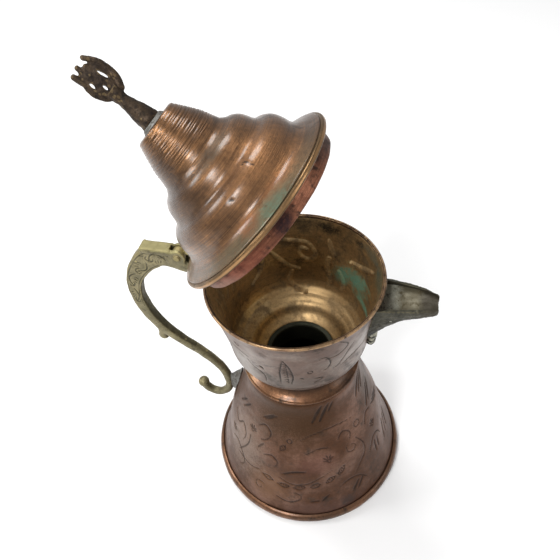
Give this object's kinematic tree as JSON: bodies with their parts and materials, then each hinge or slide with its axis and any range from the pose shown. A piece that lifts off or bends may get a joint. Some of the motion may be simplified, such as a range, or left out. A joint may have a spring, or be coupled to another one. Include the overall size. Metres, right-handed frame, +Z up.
{
  "type": "coffee pot",
  "caption": "Spun and chased copper coffee pot: cone body, pinched waist, open bowl with a cast trough spout, scrolled cast handle and a hinged turned lid with a hand finial.",
  "frame": {"origin": "centre of the foot ring's flat underside, on the surface that the pot stands on", "axes": "+Z up along the pot's turned axis, +X towards the spout, -X towards the handle, lid hinge along Y"},
  "size_m": [0.1708, 0.1266, 0.2823],
  "materials": {
    "base_copper": "dull, worn copper",
    "bright_copper": "rubbed, satin copper",
    "body_copper": "worn tin over copper, chased, brown patina",
    "neck_brass": "tarnished grey-green brass",
    "bowl_copper": "worn tin over copper outside, brown-gold inside",
    "rim_copper": "folded copper edge with a dark line",
    "spout_brass": "dark grey-green cast brass, pitted",
    "handle_brass": "olive-green cast brass, engraved",
    "solder_grey": "grey solder",
    "pin_steel": "dark dull steel",
    "lid_copper": "turned copper, brown patina",
    "lid_edge": "rubbed copper edge",
    "flange_copper": "red copper with dark stains",
    "finial_bronze": "dark bronze with rubbed spots"
  },
  "bodies": {
    "pot": {"base_plate": "base_copper", "foot_ring": "bright_copper", "lower_body": "body_copper", "waist_collar": "bright_copper", "neck_sleeve": "neck_brass", "bowl": "bowl_copper", "rim_wire": "rim_copper", "spout": "spout_brass", "spout_tail": "spout_brass", "handle": "handle_brass", "handle_foot": "solder_grey", "hinge_pin": "pin_steel"},
    "lid": {"lid_strap": "handle_brass", "strap_rivets": "pin_steel", "lid_shell": "lid_copper", "lid_bead": "lid_edge", "lid_flange": "flange_copper", "finial_collar": "solder_grey", "finial": "finial_bronze", "finial_nut": "pin_steel"}
  },
  "joints": [
    {"name": "lid_hinge", "type": "hinge", "parent": "pot", "child": "lid", "pos_m": [-0.0605, 0, 0.1774], "axis": [0, -1, 0], "range_deg": [-46.4, 55]}
  ]
}
